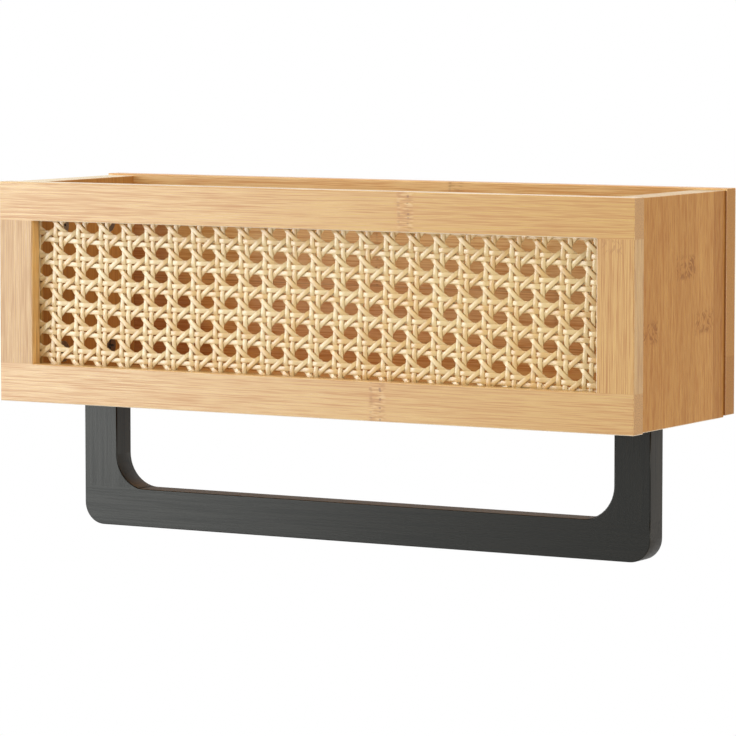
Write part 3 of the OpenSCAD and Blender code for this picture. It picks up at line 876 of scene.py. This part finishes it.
# %% [markdown]
# ## The skin of the cane
# Cane is the glossy outer skin of a rattan stem, split into strips. It is straw-coloured and
# uneven: some strands are paler and some more golden, and faint lines run along each. The panel as
# a whole is painted paler at its left end and yellower at its right: a painted sheen of the softbox at
# the left. The gloss matters most here, because the bright spots where strands rise show that they are woven.

# %% Cane material
CANE_ROUGH, COAT_ROUGH = 0.38, 0.22


def cane_skin(name, turn):
    """Pale glossy cane whose lines run at the angle turn in the front's plane."""
    r = Recipe(name)
    place = r.coordinates()
    aligned = r.tree.nodes.new("ShaderNodeMapping")
    aligned.inputs["Rotation"].default_value = (0, -turn, 0)
    r.join(place, aligned.inputs["Vector"])
    stretched = r.filled("ShaderNodeVectorMath", aligned.outputs[0], (0.035, 1.0, 1.0))
    stretched.operation = "MULTIPLY"
    line = r.noise(stretched.outputs[0], 2400, 2.0, 0.6)
    patch = r.noise(place, 55, 3.0, 0.6)
    tone = r.tree.nodes.new("ShaderNodeAttribute")
    tone.attribute_name = "tone"
    x = r.axes(place)["X"]
    colour = r.mix(tone.outputs["Fac"], shade("D7BC86"), shade("CAA361"))
    colour = r.mix(r.span(patch, 0.42, 0.68, 0.0, 0.55), colour, shade("CFA661"))
    colour = r.mix(r.span(line, 0.45, 0.75, 0.0, 0.3), colour, shade("AE8446"))
    # Painted sheen: paler towards the left end, yellower towards the right.
    colour = r.mix(r.span(x, -0.19, -0.02, 0.1, 0.0), colour, shade("EBDCBC"))
    colour = r.mix(r.span(x, -0.06, 0.19), colour, shade("FFFBEC"), "MULTIPLY")
    r.join(colour, r.shader.inputs["Base Color"])
    r.shader.inputs["Roughness"].default_value = CANE_ROUGH
    r.shader.inputs["Specular IOR Level"].default_value = 0.85
    r.shader.inputs["Coat Weight"].default_value = 0.5
    r.shader.inputs["Coat Roughness"].default_value = COAT_ROUGH
    r.bump(line, 0.00006, 0.4)
    return r.material


print("The cane's roughness is", CANE_ROUGH, "and its coat's is", COAT_ROUGH)

# %% [markdown]
# ## Putting the weave together
# The uprights start a hole above the first row and run down, the levels start a hole to the left of
# the first column, and the slanting strands start above or below the net and cross it from corner
# to corner. Strands that run the same way become one mesh.

# %% Weave
net_top = FIRST_HOLE.z + PITCH_Z
net_left = FIRST_HOLE.x - PITCH_X
net_bottom = FIRST_HOLE.z - ROWS * PITCH_Z
down = math.pi / 2
uprights, levels, falling, rising = [], [], [], []
for column in range(-1, COLUMNS):
    middle = FIRST_HOLE.x + (column + 0.5) * PITCH_X
    uprights.append((models["upright first"], Vector((middle - UPRIGHT_HALF, 0, net_top)), down))
    uprights.append((models["upright second"], Vector((middle + UPRIGHT_HALF, 0, net_top)), down))
for row in range(-1, ROWS):
    middle = FIRST_HOLE.z - (row + 0.5) * PITCH_Z
    levels.append((models["level first"], Vector((net_left, 0, middle + LEVEL_HALF)), 0.0))
    levels.append((models["level second"], Vector((net_left, 0, middle - LEVEL_HALF)), 0.0))
for column in range(-ROWS - 2, COLUMNS + 1):
    left = FIRST_HOLE.x + (column + 0.5) * PITCH_X
    falling.append((models["falling"], Vector((left, 0, net_top)), slant))
    rising.append((models["rising"], Vector((left, 0, net_bottom)), -slant))
cane_piece("cane_uprights", uprights, cane_skin("Cane, upright", down))
cane_piece("cane_levels", levels, cane_skin("Cane, level", 0.0))
cane_piece("cane_falling", falling, cane_skin("Cane, falling", slant))
cane_piece("cane_rising", rising, cane_skin("Cane, rising", -slant))

# %% [markdown]
# ## The towel bar
# The bar and its two legs are one U, glued from three pieces of bamboo and stained black. The
# outline needs only eight points: bevelling the four lower ones makes the round corners, larger
# inside than outside. A straight cut gives each of the three pieces, which is then thickened and
# has its long edges eased. The edges at the glued joints and at the floor stay sharp, so the pieces
# meet without a groove.

# %% Towel bar shape
bar_low, bar_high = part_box("towel_bar")
leg_low, leg_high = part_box("right_leg")
LEG_W, BAR_H = 0.0219, 0.0218
OUTER_R, INNER_R, CORNER_STEPS = 0.0125, 0.019, 12
EASE, EASE_STEPS = 0.0006, 3
SHARP_ANGLE, SAME_HEIGHT, PLAINLY_FLAT = 0.8, 1e-5, 0.9999


def flat_part(below, side):
    """The U's front face, only below the glued joints or only above them on one side."""
    u = bmesh.new()
    left, right, top, bottom = bar_low.x, bar_high.x, leg_high.z, bar_low.z
    outline = [(left, bottom), (right, bottom), (right, top), (right - LEG_W, top),
               (right - LEG_W, bottom + BAR_H), (left + LEG_W, bottom + BAR_H),
               (left + LEG_W, top), (left, top)]
    corners = [u.verts.new((x, bar_low.y, z)) for x, z in outline]
    u.faces.new(corners)
    for picks, radius in (((0, 1), OUTER_R), ((4, 5), INNER_R)):
        bmesh.ops.bevel(u, geom=[corners[i] for i in picks], offset=radius, offset_type="OFFSET",
                        segments=CORNER_STEPS, profile=0.5, affect="VERTICES", material=-1)
    bmesh.ops.bisect_plane(u, geom=everything(u), plane_co=(0, 0, leg_low.z), plane_no=(0, 0, 1),
                           clear_outer=below, clear_inner=not below)
    if side:
        bmesh.ops.delete(u, geom=[v for v in u.verts if v.co.x * side < 0], context="VERTS")
    return u


def thicken(u):
    """Gives a flat part the bar's thickness and eases its free edges."""
    grown = bmesh.ops.extrude_face_region(u, geom=list(u.faces))["geom"]
    bmesh.ops.translate(u, verts=[g for g in grown if isinstance(g, bmesh.types.BMVert)],
                        vec=(0, bar_high.y - bar_low.y, 0))
    bmesh.ops.recalc_face_normals(u, faces=u.faces)
    glued = [e for e in u.edges if any(all(abs(v.co.z - seat) < SAME_HEIGHT for v in e.verts)
                                       for seat in (leg_low.z, leg_high.z))]
    sharp = [e for e in u.edges if e.calc_face_angle() > SHARP_ANGLE and e not in glued]
    bmesh.ops.bevel(u, geom=sharp, offset=EASE, offset_type="OFFSET", segments=EASE_STEPS, profile=0.5,
                    affect="EDGES", material=-1)
    u.normal_update()
    for face in u.faces:
        face.smooth = max(abs(part) for part in face.normal) < PLAINLY_FLAT


def towel_piece(name, node, below, side):
    """One of the U's three pieces, which stands for the solid called node."""
    u = flat_part(below, side)
    thicken(u)
    mesh = bpy.data.meshes.new(name)
    u.to_mesh(mesh)
    u.free()
    piece = bpy.data.objects.new(name, mesh)
    bpy.context.scene.collection.objects.link(piece)
    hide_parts(node)
    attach(piece, "root")
    return piece


print("The bar is", round(1000 * (bar_high.x - bar_low.x), 1), "mm long and", 1000 * BAR_H, "mm high")

# %% [markdown]
# ## Black stain
# The stain is thin, so the grain still shows as faint lines, and the satin varnish over it turns the
# softbox into a broad grey sheen. The faces towards the room are nearly black, the sides are browner
# and rougher, and the tops are a dusty brown, partly the stain and partly painted light from above.
# The bar's grain is level and the legs' grain is upright, which is how the glued joints can be found.

# %% Towel bar pieces
GRAIN_SPAN = (0.35, 0.7)


def black_bamboo(name, directions, seed):
    """Bamboo stained black under satin varnish."""
    r = Board(name, directions)
    where = r.point(r.times(r.plus(r.u, seed), 14), r.times(r.v, 900), r.times(r.w, 900))
    fibre = r.noise(where, 1.0, 3.0, 0.6)
    front = r.mix(r.span(fibre, *GRAIN_SPAN), shade("1C1B18"), shade("0B0B09"))
    flank = r.mix(r.span(fibre, *GRAIN_SPAN), shade("251F15"), shade("17130C"))
    brown = r.span(r.turned("Y"), 0.4, 0.8, 1.0, 0.0)
    # Top faces: a dusty brown, partly the stain and partly painted light from above.
    above = r.span(r.facing["Z"], 0.7, 0.95)
    r.join(r.mix(above, r.mix(brown, front, flank), shade("5A4934")), r.shader.inputs["Base Color"])
    satin = r.plus(r.span(fibre, *GRAIN_SPAN, 0.25, 0.3), r.times(brown, 0.2))
    r.join(r.plus(satin, r.times(above, 0.15)), r.shader.inputs["Roughness"])
    r.shader.inputs["Specular IOR Level"].default_value = 0.26
    r.shader.inputs["Specular Tint"].default_value = (1.0, 1.0, 0.94, 1.0)
    r.bump(fibre, 0.00001, 0.2)
    return r.material


level_stain = black_bamboo("Black bamboo, bar", "XZY", 1.0)
upright_stain = black_bamboo("Black bamboo, legs", "ZXY", 2.0)
for name, node, below, side, stain in (("bar_of_u", "towel_bar", True, 0, level_stain),
                                       ("leg_of_u_left", "left_leg", False, -1, upright_stain),
                                       ("leg_of_u_right", "right_leg", False, 1, upright_stain)):
    piece = towel_piece(name, node, below, side)
    piece.data.materials.append(stain)
    print(name, "has", len(piece.data.polygons), "faces")

# %% [markdown]
# ## Last look
# The dressed shelf must be as large as the solids it came from; the solids' box is printed when they are
# loaded.
